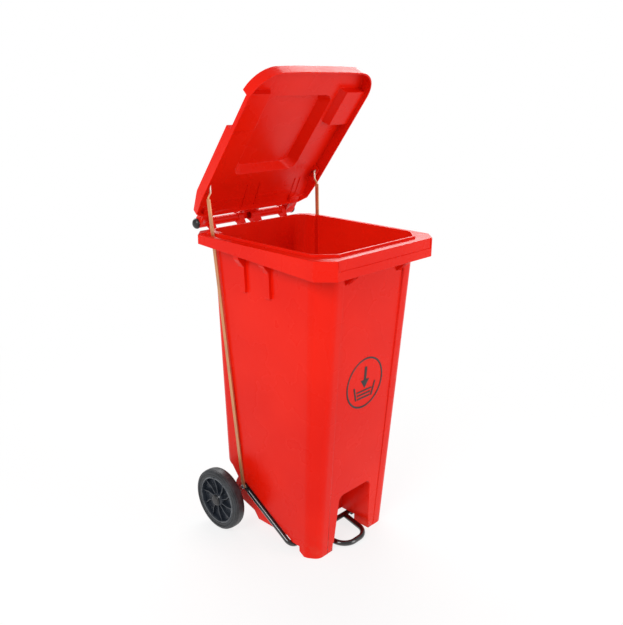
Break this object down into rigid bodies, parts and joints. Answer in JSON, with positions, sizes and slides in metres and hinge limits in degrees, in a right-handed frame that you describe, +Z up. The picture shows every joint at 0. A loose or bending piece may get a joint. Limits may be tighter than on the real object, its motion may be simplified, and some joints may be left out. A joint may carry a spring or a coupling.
{
  "type": "pedal waste bin",
  "caption": "Tall tapered waste bin on rear wheels, with a pedal-operated hinged lid, handle bars, side fins and push rods.",
  "frame": {"origin": "on the floor, at the middle of the bin's outline", "axes": "+Z up, +X along the wheel axle, front face towards -Y, hinge and wheels towards +Y"},
  "size_m": [0.502, 0.572, 1.3817],
  "materials": {
    "red_plastic": "gloss",
    "black_plastic": "satin",
    "tyre_rubber": "matte",
    "hub_plastic": "satin",
    "bush_plastic": "satin",
    "zinc_steel": "satin",
    "black_paint": "gloss",
    "tan_steel": "satin",
    "label_print": "satin"
  },
  "bodies": {
    "tub": {"body_tub": "red_plastic", "front_label": "label_print", "hinge_pin_left": "black_plastic", "hinge_pin_right": "black_plastic", "axle": "zinc_steel", "axle_washer_left": "zinc_steel", "axle_washer_right": "zinc_steel", "axle_cap_left": "black_plastic", "axle_cap_right": "black_plastic", "pivot_clamp_left": "black_plastic", "pivot_clamp_right": "black_plastic", "clamp_screw_left": "zinc_steel", "clamp_screw_right": "zinc_steel"},
    "lid": {"lid": "red_plastic"},
    "pedal": {"pedal_lever": "black_paint", "pedal_loop": "black_paint", "rod_rivet_left": "zinc_steel", "rod_rivet_right": "zinc_steel", "rod_washer_left": "bush_plastic", "rod_washer_right": "bush_plastic"},
    "rod_left": {"push_rod_left": "tan_steel"},
    "rod_right": {"push_rod_right": "tan_steel"},
    "wheel_left": {"tyre_left": "tyre_rubber", "wheel_hub_left": "hub_plastic", "wheel_bush_left": "bush_plastic"},
    "wheel_right": {"tyre_right": "tyre_rubber", "wheel_hub_right": "hub_plastic", "wheel_bush_right": "bush_plastic"}
  },
  "joints": [
    {"name": "lid_hinge", "type": "hinge", "parent": "tub", "child": "lid", "pos_m": [0, 0.27, 0.944], "axis": [1, 0, 0], "range_deg": [0, 53.5]},
    {"name": "pedal_pivot", "type": "hinge", "parent": "tub", "child": "pedal", "pos_m": [0, -0.094, 0.0175], "axis": [1, 0, 0], "range_deg": [-31.6, 0]},
    {"name": "rod_left_pivot", "type": "hinge", "parent": "pedal", "child": "rod_left", "pos_m": [-0.176, 0.11027, 0.13749], "axis": [1, 0, 0], "range_deg": [0, 37.6]},
    {"name": "rod_right_pivot", "type": "hinge", "parent": "pedal", "child": "rod_right", "pos_m": [0.176, 0.11027, 0.13749], "axis": [1, 0, 0], "range_deg": [0, 37.6]},
    {"name": "wheel_left_spin", "type": "hinge", "parent": "tub", "child": "wheel_left", "pos_m": [-0.227, 0.1615, 0.097], "axis": [1, 0, 0], "continuous": true},
    {"name": "wheel_right_spin", "type": "hinge", "parent": "tub", "child": "wheel_right", "pos_m": [0.227, 0.1615, 0.097], "axis": [1, 0, 0], "continuous": true}
  ],
  "couplings": [
    {"joint": "pedal_pivot", "follows": "lid_hinge", "ratio": -0.58925},
    {"joint": "rod_left_pivot", "follows": "lid_hinge", "ratio": 0.70176},
    {"joint": "rod_right_pivot", "follows": "lid_hinge", "ratio": 0.70176}
  ]
}
